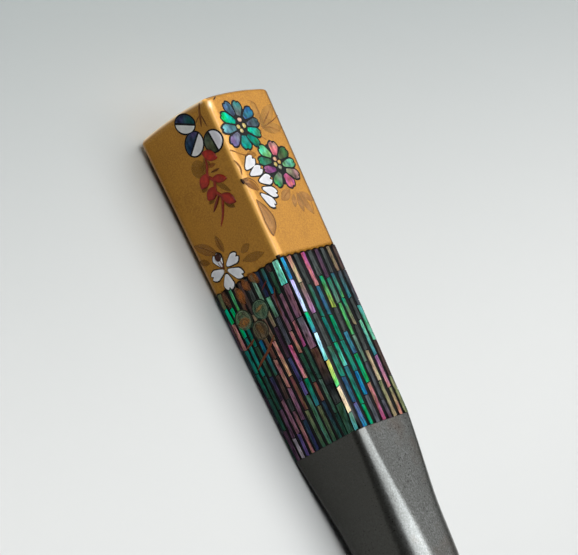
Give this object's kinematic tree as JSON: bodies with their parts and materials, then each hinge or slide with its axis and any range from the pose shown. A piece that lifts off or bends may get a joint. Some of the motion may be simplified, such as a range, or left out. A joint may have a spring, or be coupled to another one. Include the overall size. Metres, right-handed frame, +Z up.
{
  "type": "kanzashi hair stick",
  "caption": "Tapered round hair stick with a square head, coated in gold lacquer with inlaid shell flowers and leaves above a band of thin shell strips.",
  "frame": {"origin": "middle of the box round the lying stick, on the surface that it lies on", "axes": "+X from the square head to the tip, +Z up, and the head's face with the leaves and the blossom towards -Y"},
  "size_m": [0.1724, 0.0121, 0.0124],
  "materials": {
    "black_lacquer": "black lacquer over wood, with fine metal powder in it, semi gloss",
    "gold_lacquer": "gold powder lacquer, semi gloss",
    "abalone_shell": "polished iridescent abalone shell, blue green to pink",
    "white_shell": "polished pearly white shell",
    "dark_shell": "polished dark blue green shell",
    "gold_grain": "raised gold grains",
    "red_lacquer": "raised dark red lacquer"
  },
  "bodies": {
    "root": {"band_disc_1": "dark_shell", "band_disc_2": "dark_shell", "band_disc_3": "dark_shell", "cherry_bud": "red_lacquer", "cherry_petal_1": "white_shell", "cherry_petal_2": "white_shell", "cherry_petal_3": "white_shell", "cherry_petal_4": "white_shell", "cherry_petal_5": "white_shell", "gold_head": "gold_lacquer", "leaf_dark_1": "dark_shell", "leaf_dark_2": "dark_shell", "leaf_dark_3": "dark_shell", "leaf_pale_1": "white_shell", "leaf_pale_2": "white_shell", "leaf_pale_3": "white_shell", "red_spray": "red_lacquer", "rose_heart": "gold_grain", "rose_petal_1": "abalone_shell", "rose_petal_2": "abalone_shell", "rose_petal_3": "abalone_shell", "rose_petal_4": "abalone_shell", "rose_petal_5": "abalone_shell", "rose_petal_6": "abalone_shell", "rose_petal_7": "abalone_shell", "rose_petal_8": "abalone_shell", "rose_petal_9": "abalone_shell", "stick": "black_lacquer", "strips_back": "abalone_shell", "strips_front": "abalone_shell", "strips_top": "abalone_shell", "strips_under": "abalone_shell", "teal_heart": "gold_grain", "teal_petal_1": "abalone_shell", "teal_petal_10": "abalone_shell", "teal_petal_2": "abalone_shell", "teal_petal_3": "abalone_shell", "teal_petal_4": "abalone_shell", "teal_petal_5": "abalone_shell", "teal_petal_6": "abalone_shell", "teal_petal_7": "abalone_shell", "teal_petal_8": "abalone_shell", "teal_petal_9": "abalone_shell", "white_petal_1": "white_shell", "white_petal_2": "white_shell", "white_petal_3": "white_shell", "white_petal_4": "white_shell", "white_petal_5": "white_shell"}
  },
  "joints": []
}
